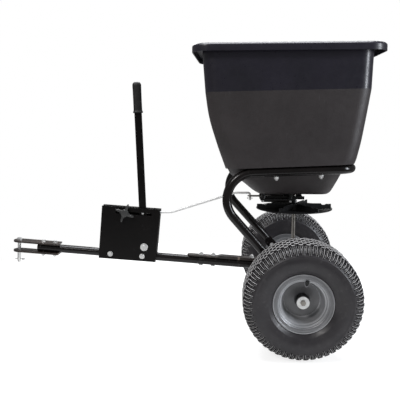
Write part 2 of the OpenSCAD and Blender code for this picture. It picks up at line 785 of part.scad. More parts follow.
module lever_pivot_bolt() color([0.78, 0.78, 0.80]) on_tongue() translate([pivot_s, -box_out, pivot_h])
    rotate([90, 0, 0]) {
        fastener(pivot_r, 2 * box_out, tail = 3);
        tube_z(14, pivot_r, 0, 2);
    }

module pivot_spacers() color([0.78, 0.78, 0.80]) on_tongue() translate([pivot_s, 0, pivot_h]) {
    tube_y(9, pivot_r, -box_in, lever_y - lever_t / 2 - lever_gap);
    tube_y(9, pivot_r, lever_y + lever_t / 2 + lever_gap, box_in);
}

grip_len = 108;
rod_slot = 1.3;       // the rod's hole is this much taller each way than it is wide

module lever() color([0.04, 0.04, 0.045]) on_lever() difference() {
    slab_y(lever_y - lever_t / 2, lever_y + lever_t / 2)
        stadium([0, 0], [0, lever_len - lever_w / 2 - 6], lever_w / 2);
    rod_y(pivot_r + run_gap, -20, 10);
    slab_y(-20, 10) stadium([0, rod_arm - rod_slot], [0, rod_arm + rod_slot], rod_r + 0.45);
}

grip_half_w = 16;
grip_half_t = 10;

module grip_section()
    stadium([grip_half_t - grip_half_w, 0], [grip_half_w - grip_half_t, 0], grip_half_t);

module lever_grip() color([0.03, 0.03, 0.03]) on_lever() difference() {
    translate([0, lever_y, lever_len - grip_len]) {
        linear_extrude(height = grip_len - 6) grip_section();
        translate([0, 0, grip_len - 6]) linear_extrude(height = 3) scale(0.9) grip_section();
        translate([0, 0, grip_len - 3]) linear_extrude(height = 3) scale(0.7) grip_section();
        linear_extrude(height = 5) scale(1.12) grip_section();
    }
    slab_y(lever_y - lever_t / 2, lever_y + lever_t / 2)
        stadium([0, 0], [0, lever_len - lever_w / 2 - 6], lever_w / 2);
}

knob_y0 = -box_out - 2.6;
knob_t = 13;
knob_r = 36;

stud_end = -5.5;

// Stud through the left plate's slot, with a flange inside and a washer under the knob.
module stop_bolt() color([0.7, 0.7, 0.72]) on_tongue() translate([stop_s, 0, slot_h]) {
    rod_y(stop_r, knob_y0 - knob_t + 2, stud_end);
    tube_y(11, stop_r, knob_y0 + 0.3, -box_out - 0.3);
    tube_y(11, stop_r, -box_in + 0.3, -box_in + 2);
}

module star_knob() color([0.03, 0.03, 0.03]) on_tongue() translate([stop_s, 0, slot_h])
    difference() {
        union() {
            for (i = [0:3]) rotate([0, 20 + 90 * i, 0])
                slab_y(knob_y0 - knob_t + 3, knob_y0 - 0.5) stadium([6, 0], [knob_r - 6, 0], 6);
            rod_y(14, knob_y0 - knob_t, knob_y0);
        }
        rod_y(stop_r + run_gap, knob_y0 - knob_t + 1, knob_y0 + 1);
    }

// ---- control rod and gate ----

gate_z = 462;
gate_t = 3;
rod_gate_x = -157;
rod_gate_z = 474;
lever_pin = let (
    px = pivot_s * cos(tongue_slope) + pivot_h * sin(tongue_slope),
    pz = tongue_z - pivot_s * sin(tongue_slope) + pivot_h * cos(tongue_slope)
) [px - rod_arm * sin(lever_lean), pz + rod_arm * cos(lever_lean)];
rod_path = [
    lever_pin, [-439, lever_pin.y + 4], [-211, rod_gate_z], [rod_gate_x, rod_gate_z],
    [rod_gate_x, gate_z - 14]
];
rod_bend_r = 8;

function heading(p, q) = atan2(q.y - p.y, q.x - p.x);

// Length that the bend at q takes from the legs on either side of it.
function bend_cut(p, q, w) = rod_bend_r * tan(abs(heading(q, w) - heading(p, q)) / 2);

// Rod of radius r through the points of path in the x, z plane, with a round bend at each
// inner point.
module bent_rod(path, r) {
    last = len(path) - 1;
    for (i = [0:last - 1]) {
        p = path[i];
        q = path[i + 1];
        cut0 = i == 0 ? lap : bend_cut(path[i - 1], p, q);
        cut1 = i == last - 1 ? lap : bend_cut(p, q, path[i + 2]);
        translate([p.x, 0, p.y]) rotate([0, -heading(p, q), 0]) {
            translate([cut0, 0, 0]) pipe_run(r, norm(q - p) - cut0 - cut1);
            if (i < last - 1) {
                turn = heading(q, path[i + 2]) - heading(p, q);
                translate([norm(q - p) - cut1, 0, sign(turn) * rod_bend_r]) rotate([90, 0, 0])
                    rotate([0, 0, turn > 0 ? -90 : 90 + turn])
                        pipe_bend(r, rod_bend_r, abs(turn));
            }
        }
    }
}

module control_rod() color([0.78, 0.78, 0.78]) from_axle() difference() {
    union() {
        bent_rod(rod_path, rod_r);
        translate([lever_pin.x, 0, lever_pin.y]) rod_y(rod_r - 0.1, -14.3, rod_r - 0.6);
    }
    translate([rod_gate_x, 0, gate_z - 7]) rotate([0, 90, 0]) rod_z(1.25, -10, 10);
}

module rod_cotter() color([0.78, 0.78, 0.78]) from_axle() translate([rod_gate_x, 0, gate_z - 7])
    rotate([0, 90, 0]) {
        rod_z(1.2, -8, 10);
        rod_z(2.6, -10, -7);
    }

arm_half_w = 14;
slide_half_w = 41;
slide_rear = -42;

module gate_slide() color([0.3, 0.3, 0.31]) from_axle() difference() {
    translate([0, 0, gate_z]) linear_extrude(height = gate_t) {
        stadium([rod_gate_x + 5, 0], [-110, 0], arm_half_w);
        translate([-122, -slide_half_w]) square([slide_rear + 122, 2 * slide_half_w]);
    }
    translate([rod_gate_x, 0, 0]) rod_z(rod_r + 0.35, gate_z - 1, gate_z + gate_t + 1);
}

guide_z = 458;
guide_top = gate_z - 0.3;
chute_flange_t = 2.5;
guide_half_w = 62;

module gate_guide() color([0.05, 0.05, 0.055]) from_axle() difference() {
    union() {
        box(-124, 31, -slide_half_w - 4, slide_half_w + 4, guide_z, guide_top);
        box(-122, -8, -guide_half_w, guide_half_w, guide_z, guide_top);
        for (side = [-1, 1]) scale_y(side)
            box(-122, 31, slide_half_w + 0.4, slide_half_w + 4, guide_z, 469);
        for (x = gate_bolt_x, y = [-1, 1] * gate_bolt_y)
            translate([x, y, 0]) rod_z(7.5, guide_z, floor_z);
    }
    box(outlet_x0, outlet_x1, -outlet_half_w, outlet_half_w, guide_z - 1, guide_top + 1);
    rod_z(shaft_r + 1.5, guide_z - 1, guide_top + 1);
    for (x = gate_bolt_x, y = [-1, 1] * gate_bolt_y)
        translate([x, y, 0]) rod_z(2.5 + hole_gap, guide_z - 1, floor_z + 1);
}

chute_z = 447;
chute_x0 = -117;
chute_x1 = -20;
chute_half_w = 42;

// Open-bottomed box under the outlet that drops the material onto the spinner.
module drop_chute() color([0.04, 0.04, 0.045]) from_axle() difference() {
    union() {
        box(chute_x0, chute_x1, -chute_half_w, chute_half_w, chute_z, guide_z);
        box(-122, -9, -guide_half_w, guide_half_w, guide_z - chute_flange_t, guide_z);
    }
    box(chute_x0 + 2.5, chute_x1 - 2.5, -chute_half_w + 2.5, chute_half_w - 2.5,
        chute_z - 1, guide_z + 1);
    for (x = gate_bolt_x, y = [-1, 1] * gate_bolt_y)
        translate([x, y, 0]) rod_z(2.5 + hole_gap, guide_z - 6, guide_z + 1);
}

module gate_bolts() color([0.75, 0.75, 0.77]) from_axle()
    for (x = gate_bolt_x, y = [-1, 1] * gate_bolt_y)
        translate([x, y, floor_z + floor_t])
            fastener(2.5, floor_z + floor_t - guide_z + chute_flange_t, tail = 2);

upper_bush_r = 11;

module shaft_bushing_upper() color([0.85, 0.84, 0.80]) from_axle() {
    tube_z(upper_bush_r, shaft_r + run_gap, floor_z - 4, floor_z + floor_t);
    tube_z(16, shaft_r + run_gap, floor_z + floor_t, floor_z + floor_t + 3);
}

// ---- spinner, shaft and agitator ----

spinner_pin_z = 446;
agitator_z = 512;
hub_bottom = 402;
sleeve_top = 455;
vane_top = 438;
pin_r = 2;

module spinner_shaft() color([0.62, 0.62, 0.62]) from_axle() difference() {
    rod_z(shaft_r, axle_z + 38, 532);
    translate([0, 0, spinner_pin_z]) rotate([0, 90, 0]) rod_z(pin_r, -20, 20);
    translate([0, 0, agitator_z]) rod_y(pin_r, -20, 20);
}

// Height of the spinner's upper surface at radius r: a shallow dish.
function dish_z(r) = 414 + 9 * r / spinner_r;

module spinner() color([0.03, 0.03, 0.035]) from_axle() difference() {
    union() {
        rotate_extrude() polygon([
            [0, hub_bottom], [17, hub_bottom], [34, hub_bottom + 7], [64, dish_z(64) - 2.5],
            [spinner_r, dish_z(spinner_r) - 2.5], [spinner_r, dish_z(spinner_r)], [20, dish_z(20)],
            [17, vane_top], [8.5, vane_top + 3], [8.5, sleeve_top], [0, sleeve_top]
        ]);
        for (i = [0:vanes - 1]) rotate([0, 0, 360 * i / vanes + 3]) slab_y(-1.8, 1.8) polygon([
            [10, dish_z(10)], [spinner_r - 2, dish_z(spinner_r)], [spinner_r - 2, vane_top - 2],
            [spinner_r - 20, vane_top - 2], [spinner_r - 24, vane_top - 5],
            [spinner_r - 34, vane_top - 5], [spinner_r - 38, vane_top], [10, vane_top]
        ]);
    }
    rod_z(shaft_r, hub_bottom - 1, sleeve_top + 1);
    translate([0, 0, spinner_pin_z]) rotate([0, 90, 0]) rod_z(pin_r, -20, 20);
}

agitator_arm = 58;

module agitator() color([0.7, 0.7, 0.72]) from_axle() difference() {
    union() {
        rod_z(11, agitator_z - 9, agitator_z + 9);
        for (a = [0, 180]) rotate([0, 0, a]) bent_rod([
            [6, agitator_z], [agitator_arm, agitator_z], [agitator_arm, agitator_z + 26]
        ], 4);
    }
    rod_z(shaft_r, agitator_z - 20, agitator_z + 20);
    translate([0, 0, agitator_z]) rod_y(pin_r, -20, 20);
}

module shaft_pins() color([0.8, 0.8, 0.82]) from_axle() {
    translate([0, 0, spinner_pin_z]) rotate([0, 90, 0]) {
        rod_z(pin_r, -15.5, 11);
        rod_z(3.5, -15.5, -12.5);
    }
    translate([0, 0, agitator_z]) rod_y(pin_r, -13, 13);
}

// ---- what is drawn ----

hopper();
hopper_frame();
hopper_bolts();
bearing_plate_left();
bearing_plate_right();
bearing_plate_bolts();
axle_tube_left();
axle_tube_right();
axle_bushings();
gearbox_half_left();
gearbox_half_right();
gearbox_bolts();
tongue_tube();
tongue_strut();
strut_bolts();
hitch_plate_upper();
hitch_plate_lower();
hitch_bolts();
hitch_pin();
hitch_clip();
control_plate_left();
control_plate_right();
control_bolts();
lever_pivot_bolt();
pivot_spacers();
lever();
lever_grip();
stop_bolt();
star_knob();
control_rod();
rod_cotter();
gate_slide();
gate_guide();
drop_chute();
gate_bolts();
shaft_bushing_lower();
shaft_bushing_upper();
spinner_shaft();
pinion();
spinner();
agitator();
shaft_pins();
axle_shaft();
ring_gear();
ring_gear_pin();
axle_spacers();
drive_pin();
rim_left();
tyre_left();
valve_left();
hub_bushings_left();
rim_right();
tyre_right();
valve_right();
hub_bushings_right();
axle_end_washers();
axle_end_bolts();
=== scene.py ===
"""Looks of the tow behind spreader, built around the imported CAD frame. New shapes are in mm."""

import json
import math

import bmesh
import bpy
from mathutils import Matrix, Vector

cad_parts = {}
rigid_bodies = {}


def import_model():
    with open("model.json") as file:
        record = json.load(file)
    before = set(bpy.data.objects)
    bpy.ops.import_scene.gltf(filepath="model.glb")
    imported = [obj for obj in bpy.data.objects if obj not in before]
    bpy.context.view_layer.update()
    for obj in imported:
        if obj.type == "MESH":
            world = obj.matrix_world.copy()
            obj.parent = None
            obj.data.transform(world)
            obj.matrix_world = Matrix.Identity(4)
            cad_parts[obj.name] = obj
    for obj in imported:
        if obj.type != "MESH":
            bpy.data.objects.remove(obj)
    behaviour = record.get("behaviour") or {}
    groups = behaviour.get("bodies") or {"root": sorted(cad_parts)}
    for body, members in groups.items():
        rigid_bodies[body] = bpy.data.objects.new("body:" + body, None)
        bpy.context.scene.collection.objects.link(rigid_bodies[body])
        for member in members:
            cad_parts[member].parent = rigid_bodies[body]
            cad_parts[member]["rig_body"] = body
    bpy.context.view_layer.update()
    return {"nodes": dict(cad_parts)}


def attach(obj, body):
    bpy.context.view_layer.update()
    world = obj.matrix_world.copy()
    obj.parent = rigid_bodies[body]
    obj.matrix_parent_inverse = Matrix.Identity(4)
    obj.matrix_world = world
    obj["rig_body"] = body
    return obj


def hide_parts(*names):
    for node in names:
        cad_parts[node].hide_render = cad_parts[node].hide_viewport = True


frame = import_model()

TAU = 2 * math.pi
MILLIMETRE = 0.001
SAME_PLACE = 2e-6        # points closer together than this, in metres, are one point
AXLE_X = 0.388066        # the wheel axle, along X in the row frame, in metres
AXLE_Z = 184
TRACK = 600
TONGUE_Z = 202
TONGUE_SLOPE = math.radians(3.776)
LEVER_LEAN = math.radians(1.9)
LEVER_PIVOT = (-544, 0, 35)        # in the frame of the tongue
STOP_BOLT = (-620, 0, 156.5)       # in the frame of the tongue
FLAT_ANGLE = 0.6         # degrees, below which two faces of a CAD node become one
CUT_LIMIT = 0.48         # the largest share of a side that a rounded corner may take


def turn(degrees, axis):
    return Matrix.Rotation(math.radians(degrees), 4, axis)


def shift(x=0.0, y=0.0, z=0.0):
    return Matrix.Translation((x, y, z))


# Local frames in mm: on the ground under the axle, along the tongue, and along the lever.
FROM_AXLE = shift(AXLE_X) @ Matrix.Scale(MILLIMETRE, 4)
ON_TONGUE = FROM_AXLE @ shift(z=TONGUE_Z) @ Matrix.Rotation(TONGUE_SLOPE, 4, "Y")
ON_LEVER = ON_TONGUE @ shift(*LEVER_PIVOT) @ Matrix.Rotation(-TONGUE_SLOPE - LEVER_LEAN, 4, "Y")


def at_wheel(side):
    """Local y points outboard from the middle plane of the wheel on one side."""
    mirror = Matrix.Diagonal((1, side, 1, 1))
    return FROM_AXLE @ shift(0, side * TRACK / 2, AXLE_Z) @ mirror


# ---- materials ----

EVEN = (1, 1, 1)


class Finish:
    """A principled material whose colour, roughness and relief come from procedural nodes."""

    def __init__(self, name, roughness, spread, metallic=0.0, coat=0.0, coat_roughness=0.1, specular=0.5):
        self.material = bpy.data.materials.new(name)
        self.material.use_nodes = True
        tree = self.material.node_tree
        self.nodes, self.links = tree.nodes, tree.links
        self.shader = self.nodes["Principled BSDF"]
        settings = {
            "Metallic": metallic,
            "Coat Weight": coat,
            "Coat Roughness": coat_roughness,
            "Specular IOR Level": specular,
        }
        for socket, number in settings.items():
            self.shader.inputs[socket].default_value = number
        self.place = self.nodes.new("ShaderNodeTexCoord").outputs["Object"]
        self.normal = None
        smoothest, roughest = max(0.03, roughness - spread), min(1.0, roughness + spread)
        varied = self.remap(self.noise(55, 4), 0.3, 0.7, smoothest, roughest)
        self.links.new(varied, self.shader.inputs["Roughness"])

    def noise(self, scale, detail, stretch=EVEN):
        place = self.place
        if stretch != EVEN:
            mapping = self.nodes.new("ShaderNodeMapping")
            mapping.inputs["Scale"].default_value = stretch
            self.links.new(self.place, mapping.inputs["Vector"])
            place = mapping.outputs["Vector"]
        node = self.nodes.new("ShaderNodeTexNoise")
        node.inputs["Scale"].default_value = scale
        node.inputs["Detail"].default_value = detail
        self.links.new(place, node.inputs["Vector"])
        return node.outputs["Fac"]

    def cells(self, scale):
        node = self.nodes.new("ShaderNodeTexVoronoi")
        node.inputs["Scale"].default_value = scale
        self.links.new(self.place, node.inputs["Vector"])
        return node.outputs["Distance"]

    def remap(self, value, low, high, to_low, to_high):
        node = self.nodes.new("ShaderNodeMapRange")
        ends = {"From Min": low, "From Max": high, "To Min": to_low, "To Max": to_high}
        for socket, number in ends.items():
            node.inputs[socket].default_value = number
        self.links.new(value, node.inputs["Value"])
        return node.outputs["Result"]

    def mix(self, share, first, second):
        node = self.nodes.new("ShaderNodeMix")
        node.data_type = "RGBA"
        self.links.new(share, node.inputs[0])
        for socket, colour in ((node.inputs[6], first), (node.inputs[7], second)):
            if isinstance(colour, tuple):
                socket.default_value = (*colour, 1)
            else:
                self.links.new(colour, socket)
        return node.outputs[2]

    def product(self, first, second):
        node = self.nodes.new("ShaderNodeMath")
        node.operation = "MULTIPLY"
        self.links.new(first, node.inputs[0])
        self.links.new(second, node.inputs[1])
        return node.outputs[0]

    def clouds(self, scale, detail, dark, light, stretch=EVEN):
        """A slow change between two colours."""
        share = self.remap(self.noise(scale, detail, stretch), 0.35, 0.65, 0, 1)
        return self.mix(share, dark, light)

    def colour(self, output):
        self.links.new(output, self.shader.inputs["Base Color"])

    def relief(self, height, depth, strength):
        """Adds a layer of bump; depth is in metres."""
        node = self.nodes.new("ShaderNodeBump")
        node.inputs["Strength"].default_value = strength
        node.inputs["Distance"].default_value = depth
        self.links.new(height, node.inputs["Height"])
        if self.normal is not None:
            self.links.new(self.normal, node.inputs["Normal"])
        self.normal = node.outputs["Normal"]
        self.links.new(self.normal, self.shader.inputs["Normal"])


def times(colour, share):
    return tuple(share * c for c in colour)


def plastic(name, dark, light, roughness, grain, depth, scuff=(0.09, 0.09, 0.09)):
    """Moulded plastic: slow cloudy tone, pebbled grain and pale scuffs in a few patches."""
    look = Finish(name, roughness, 0.06)
    tone = look.clouds(9, 3, dark, light)
    scratches = look.remap(look.noise(140, 5, (1, 1, 0.15)), 0.66, 0.72, 0, 0.3)
    patches = look.remap(look.noise(16, 2), 0.5, 0.65, 0, 1)
    look.colour(look.mix(look.product(scratches, patches), tone, scuff))
    look.relief(look.cells(grain), depth, 0.5)
    look.relief(look.noise(grain * 0.4, 4), depth, 0.35)
    return look.material


def paint(name, dark, light, roughness, chip, chip_amount, coat=0.0, peel=0.00012, specular=0.5):
    """Powder coat over steel: faint orange peel and a few scuffs."""
    look = Finish(name, roughness, 0.05, coat=coat, coat_roughness=0.16, specular=specular)
    tone = look.clouds(14, 4, dark, light)
    chips = look.remap(look.noise(60, 4), 0.62, 0.66, 0, chip_amount)
    patches = look.remap(look.noise(11, 2), 0.52, 0.6, 0, 1)
    look.colour(look.mix(look.product(chips, patches), tone, chip))
    look.relief(look.noise(420, 2), peel, 0.5)
    look.relief(look.noise(90, 2), peel * 2, 0.25)
    return look.material


def metal(name, dark, light, roughness, brushed=EVEN, metallic=1.0):
    """Plated or bare metal: mottled tone and fine marks, drawn out along the brushed direction."""
    look = Finish(name, roughness, 0.08, metallic=metallic)
    tone = look.clouds(60, 5, dark, light, brushed)
    stain = look.remap(look.noise(21, 4), 0.55, 0.72, 0, 0.35)
    look.colour(look.mix(stain, tone, times(dark, 0.55)))
    look.relief(look.noise(540, 3, brushed), 0.00006, 0.4)
    return look.material


def rubber(name, dark, light, dust_and_glint, roughness, specular=0.5):
    """Tyre rubber: slightly dusty, with a fine moulded grain; on the tread edges its pale tones are a
    painted highlight, not dust.
    """
    look = Finish(name, roughness, 0.08, specular=specular)
    tone = look.clouds(20, 4, dark, light)
    # Lighter patches: dust on the carcass and tread tops, and part of the painted highlight on the tread
    # edges.
    dusty = look.remap(look.noise(75, 6), 0.56, 0.74, 0, 0.4)
    look.colour(look.mix(dusty, tone, dust_and_glint))
    look.relief(look.noise(900, 2), 0.0001, 0.4)
    look.relief(look.noise(120, 3), 0.0003, 0.25)
    return look.material


def silver_paint(name, dark, light):
    """Sprayed silver paint: metallic flake under a soft coat."""
    look = Finish(name, 0.40, 0.05, metallic=0.5, coat=0.2, coat_roughness=0.25)
    tone = look.clouds(24, 4, dark, light)
    flake = look.remap(look.cells(1400), 0.1, 0.5, 0.25, 0)
    look.colour(look.mix(flake, tone, times(light, 1.35)))
    look.relief(look.noise(320, 3), 0.00008, 0.4)
    return look.material


def cast_alloy(name, dark, light):
    """Sand-cast housing with a coarse skin and greasy patches."""
    look = Finish(name, 0.5, 0.12, metallic=0.4)
    tone = look.clouds(30, 5, dark, light)
    greasy = look.remap(look.noise(90, 5), 0.58, 0.7, 0, 0.6)
    look.colour(look.mix(greasy, tone, times(dark, 0.4)))
    look.relief(look.noise(700, 4), 0.0003, 0.6)
    look.relief(look.cells(260), 0.0002, 0.3)
    return look.material


HOPPER_UPPER = plastic(
    "hopper_upper", (0.015, 0.014, 0.021), (0.020, 0.018, 0.028),
    roughness=0.33, grain=900, depth=0.00004, scuff=(0.03, 0.03, 0.035),
)
# Lighter than the upper band: partly the textured plastic, partly painted reflection of the floor on the
# downward-facing wall below the crease.
HOPPER_LOWER = plastic(
    "hopper_lower", (0.032, 0.027, 0.028), (0.042, 0.036, 0.037), roughness=0.5, grain=900, depth=0.00025,
)
FRAME_PAINT = paint(
    "frame_paint", (0.005, 0.004, 0.004), (0.009, 0.007, 0.007),
    roughness=0.2, chip=(0.06, 0.06, 0.055), chip_amount=0.3, specular=0.38,
)
BOX_PAINT = paint(
    "box_paint", (0.0025, 0.002, 0.002), (0.004, 0.003, 0.003),
    roughness=0.36, chip=(0.02, 0.02, 0.02), chip_amount=0.3, peel=0.0002, specular=0.2,
)
HITCH_PAINT = paint(
    "hitch_paint", (0.014, 0.011, 0.010), (0.034, 0.024, 0.020),
    roughness=0.34, chip=(0.26, 0.20, 0.16), chip_amount=0.8, coat=0.1,
)
ZINC = metal("zinc_plate", (0.72, 0.72, 0.72), (0.88, 0.88, 0.86), roughness=0.32, metallic=0.7)
# The rod is drawn near white and almost without metal: its zinc tone plus a painted reflection of the
# bright surroundings.
ROD_ZINC_AND_GLARE = metal(
    "rod_zinc", (0.90, 0.90, 0.89), (0.96, 0.96, 0.95), roughness=0.5, brushed=(0.2, 1, 1), metallic=0.05,
)
BARE_STEEL = metal(
    "bare_steel", (0.28, 0.26, 0.24), (0.42, 0.40, 0.37), roughness=0.34, brushed=(1, 1, 0.08),
)
GEAR_STEEL = metal("gear_steel", (0.14, 0.14, 0.14), (0.24, 0.24, 0.24), roughness=0.42)
TYRE = rubber(
    "tyre_rubber", (0.024, 0.022, 0.025), (0.035, 0.032, 0.035),
    dust_and_glint=(0.072, 0.068, 0.070), roughness=0.40,
)
TREAD_TOP = rubber(
    "tread_top", (0.007, 0.007, 0.008), (0.013, 0.012, 0.013),
    dust_and_glint=(0.022, 0.021, 0.021), roughness=0.5, specular=0.08,
)
# Pale grey rubber for block bevels and lug sides: a painted highlight along the tread edges.
TYRE_EDGE_HIGHLIGHT = rubber(
    "tyre_edge", (0.34, 0.335, 0.335), (0.46, 0.45, 0.45), dust_and_glint=(0.50, 0.49, 0.48), roughness=0.4,
)
# One silver paint in three tones by radius: lightest on lip, steps and barrel as painted highlight, a
# middle tone on the flange band, darkest on the deep disc as painted shade.
RIM_LIT = silver_paint("rim_paint", (0.38, 0.385, 0.40), (0.46, 0.465, 0.48))
RIM_DISC_SHADED = silver_paint("rim_disc", (0.13, 0.13, 0.134), (0.165, 0.165, 0.17))
RIM_BAND = silver_paint("rim_band", (0.18, 0.182, 0.19), (0.22, 0.222, 0.23))
MOULDED = plastic(
    "moulded_black", (0.008, 0.008, 0.008), (0.014, 0.014, 0.014),
    roughness=0.45, grain=1600, depth=0.00012,
)
KNOB = plastic(
    "knob_plastic", (0.045, 0.045, 0.045), (0.065, 0.065, 0.065),
    roughness=0.3, grain=1800, depth=0.00006,
)
SPINNER = plastic(
    "spinner_plastic", (0.006, 0.006, 0.007), (0.011, 0.011, 0.012),
    roughness=0.42, grain=1200, depth=0.00010,
)
NYLON = plastic(
    "nylon", (0.42, 0.41, 0.37), (0.55, 0.54, 0.50),
    roughness=0.45, grain=1500, depth=0.00008, scuff=(0.2, 0.19, 0.17),
)
ALLOY = cast_alloy("gearbox_alloy", (0.030, 0.030, 0.033), (0.060, 0.060, 0.064))


# ---- mesh tools ----


def finish_mesh(obj, angle):
    """Smooth shading, kept sharp over edges steeper than angle."""
    mesh = obj.data
    mesh.polygons.foreach_set("use_smooth", [True] * len(mesh.polygons))
    mesh.set_sharp_from_angle(angle=math.radians(angle))


def bevel(obj, width, angle):
    modifier = obj.modifiers.new("edge", "BEVEL")
    modifier.width = width * MILLIMETRE
    modifier.segments = 2
    modifier.limit_method = "ANGLE"
    modifier.angle_limit = math.radians(angle)
    modifier.harden_normals = False


def mesh_object(name, bm):
    """Puts the faces of bm into a new object and frees bm."""
    mesh = bpy.data.meshes.new(name)
    bm.to_mesh(mesh)
    bm.free()
    obj = bpy.data.objects.new(name, mesh)
    bpy.context.scene.collection.objects.link(obj)
    return obj


def piece(name, bm, where, materials, body, nodes, angle=32, edge=None):
    """Turns bm, drawn in the local frame where, into a piece that stands for CAD nodes."""
    bm.transform(where)
    bmesh.ops.remove_doubles(bm, verts=bm.verts, dist=SAME_PLACE)
    bmesh.ops.recalc_face_normals(bm, faces=bm.faces)
    obj = mesh_object(name, bm)
    for material in materials:
        obj.data.materials.append(material)
    finish_mesh(obj, angle)
    if edge:
        bevel(obj, edge, angle)
    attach(obj, body)
    if nodes:
        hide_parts(*nodes)
    return obj


def refined(node, material, edge, slot):
    """A cleaned copy of a CAD node with soft edges, which stands for it."""
    source = frame["nodes"][node]
    bm = bmesh.new()
    bm.from_mesh(source.data)
    bmesh.ops.remove_doubles(bm, verts=bm.verts, dist=SAME_PLACE)
    bmesh.ops.dissolve_limit(bm, angle_limit=math.radians(FLAT_ANGLE), verts=bm.verts, edges=bm.edges)
    for face in bm.faces:
        face.material_index = 0
    where = Matrix.Identity(4)
    piece(node + "_skin", bm, where, [material], source["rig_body"], [node], edge=edge)


def skin(bm, rings, closed_path=False, caps=(False, False), material=0):
    """Faces between successive rings of the same number of points."""
    rows = [[bm.verts.new(p) for p in ring] for ring in rings]
    count = len(rows[0])
    following = rows[1:] + rows[:1] if closed_path else rows[1:]
    for here, there in zip(rows, following):
        for j in range(count):
            k = (j + 1) % count
            bm.faces.new((here[j], here[k], there[k], there[j])).material_index = material
    if caps[0]:
        bm.faces.new(rows[0]).material_index = material
    if caps[1]:
        bm.faces.new(rows[-1]).material_index = material


def lathe(bm, profile, steps):
    """Turns (radius, height) points about Y."""
    rings = []
    for i in range(steps):
        a = TAU * i / steps
        rings.append([(r * math.sin(a), h, r * math.cos(a)) for r, h in profile])
    skin(bm, rings, closed_path=True)


def soften(points, cuts, steps=4):
    """Rounds the corners of a line of points; cuts is one length, or a list of one for each point."""
    out = [tuple(points[0])]
    for i in range(1, len(points) - 1):
        before, corner, after = (Vector(point) for point in points[i - 1 : i + 2])
        cut = cuts[i] if isinstance(cuts, list) else cuts
        if not cut:
            out.append(tuple(corner))
            continue
        to_before, to_after = before - corner, after - corner
        start = corner + to_before * min(cut / to_before.length, CUT_LIMIT)
        end = corner + to_after * min(cut / to_after.length, CUT_LIMIT)
        for k in range(steps + 1):
            t = k / steps
            out.append(tuple(start * (1 - t) ** 2 + corner * 2 * t * (1 - t) + end * t * t))
    out.append(tuple(points[-1]))
    return out


def tube(bm, path, radius, wall, section):
    """A round tube of a given wall along a path, open at both ends."""
    points = [Vector(p) for p in path]
    last = len(points) - 1
    ahead = [(points[min(i + 1, last)] - points[max(i - 1, 0)]).normalized() for i in range(len(points))]
    side = ahead[0].orthogonal().normalized()
    frames = []
    for direction in ahead:
        side = (side - direction * side.dot(direction)).normalized()
        frames.append((side, direction.cross(side)))
    spokes = [(math.cos(TAU * j / section), math.sin(TAU * j / section)) for j in range(section)]

    def rings(r):
        return [[p + (u * c + v * s) * r for c, s in spokes] for p, (u, v) in zip(points, frames)]

    skin(bm, rings(radius) + rings(radius - wall)[::-1], closed_path=True)


def arc(centre, start, turn_axis, degrees, steps):
    """Points from start, turned about an axis through centre."""
    spoke = Vector(start) - Vector(centre)
    points = []
    for k in range(steps + 1):
        rotation = Matrix.Rotation(math.radians(degrees * k / steps), 3, Vector(turn_axis))
        points.append(Vector(centre) + rotation @ spoke)
    return points


def block(bm, x_span, y_span, z_span, material=0):
    (x0, x1), (y0, y1) = x_span, y_span
    corners = ((x0, y0), (x1, y0), (x1, y1), (x0, y1))
    skin(bm, [[(x, y, z) for x, y in corners] for z in z_span], caps=(True, True), material=material)


# ---- hopper ----

# Height over the ground at the axle, and rise along x.
SHELF = (584.63, 0.04366)
CREASE = (826.2, 0.018)

# Each row: height over the ground, front and rear from the axle, half width, corner radius, and
# rise along x.
HOPPER_OUTSIDE = [
    (484, -132, 106, 102, 36, 0), (489, -141, 113, 108, 40, 0), (497, -152, 119, 114, 44, 0.005),
    (530, -187, 135, 136, 52, 0.02), (556, -226, 147, 148, 55, 0.03),
    (SHELF[0], -239, 152, 152, 55, SHELF[1]), (SHELF[0], -242, 178, 192, 52, SHELF[1]),
    (600.6, -248, 183, 193, 50, 0.04), (655, -268, 195, 194, 48, 0.035),
    (748, -298, 209, 195, 46, 0.026), (CREASE[0], -309, 220, 196, 45, CREASE[1]),
    (925, -317, 222, 197, 44, 0),
]
OUTSIDE_CUTS = [0, 4, 8, 14, 12, 0.8, 0.8, 5, 24, 40, 4, 20]
LIP = [
    (966, -318, 223, 198, 44, 0), (966, -345, 254, 219, 58, 0), (945, -347, 256, 221, 58, 0),
    (945, -351, 260, 225, 62, 0), (964, -351, 260, 225, 62, 0), (970, -345, 254, 219, 56, 0),
    (970, -314, 219, 194, 42, 0),
]
LIP_CUTS = [2, 3, 0.9, 0.9, 4, 4, 4]
INSIDE_CUTS = [20, 3, 30, 20, 5, 0.8, 0.8, 10, 10, 8, 4, 0]
WALL = 4
INSIDE_LIFT = 2                         # of most rows of the inner face over their outer rows
SPECIAL_LIFTS = {0: 4.5, 5: 4, 6: 4}    # of the row of the floor and the two of the shelf
CORNER_STEPS = 9
COLLAR = ((-85, -41), (-33, 33), (465.3, 484.5))
OUTLET = ((-80, -46), (-28, 28), (460, 495))
HOPPER_ANGLE = 40


def rounded_ring(row):
    """A rectangle with round corners, with extra points along its two long sides."""
    z, front, rear, half_w, r, rise = row
    points = []
    for corner in range(4):
        cx = rear - r if corner in (0, 3) else front + r
        cy = half_w - r if corner < 2 else r - half_w
        for i in range(CORNER_STEPS + 1):
            a = math.radians(90 * corner + 90 * i / CORNER_STEPS)
            x = cx + r * math.cos(a)
            points.append((x, cy + r * math.sin(a), z + rise * x))
        if corner in (0, 2):
            far = front + r if corner == 0 else rear - r
            for t in (0.25, 0.5, 0.75):
                x = cx + (far - cx) * t
                points.append((x, math.copysign(half_w, 1 - corner), z + rise * x))
    return points


def inside_row(index):
    """The row of the inner face that belongs to one row of HOPPER_OUTSIDE."""
    z, front, rear, half_w, r, rise = HOPPER_OUTSIDE[index]
    lift = SPECIAL_LIFTS.get(index, INSIDE_LIFT)
    return (z + lift, front + WALL, rear - WALL, half_w - WALL, r - WALL / 2, rise)


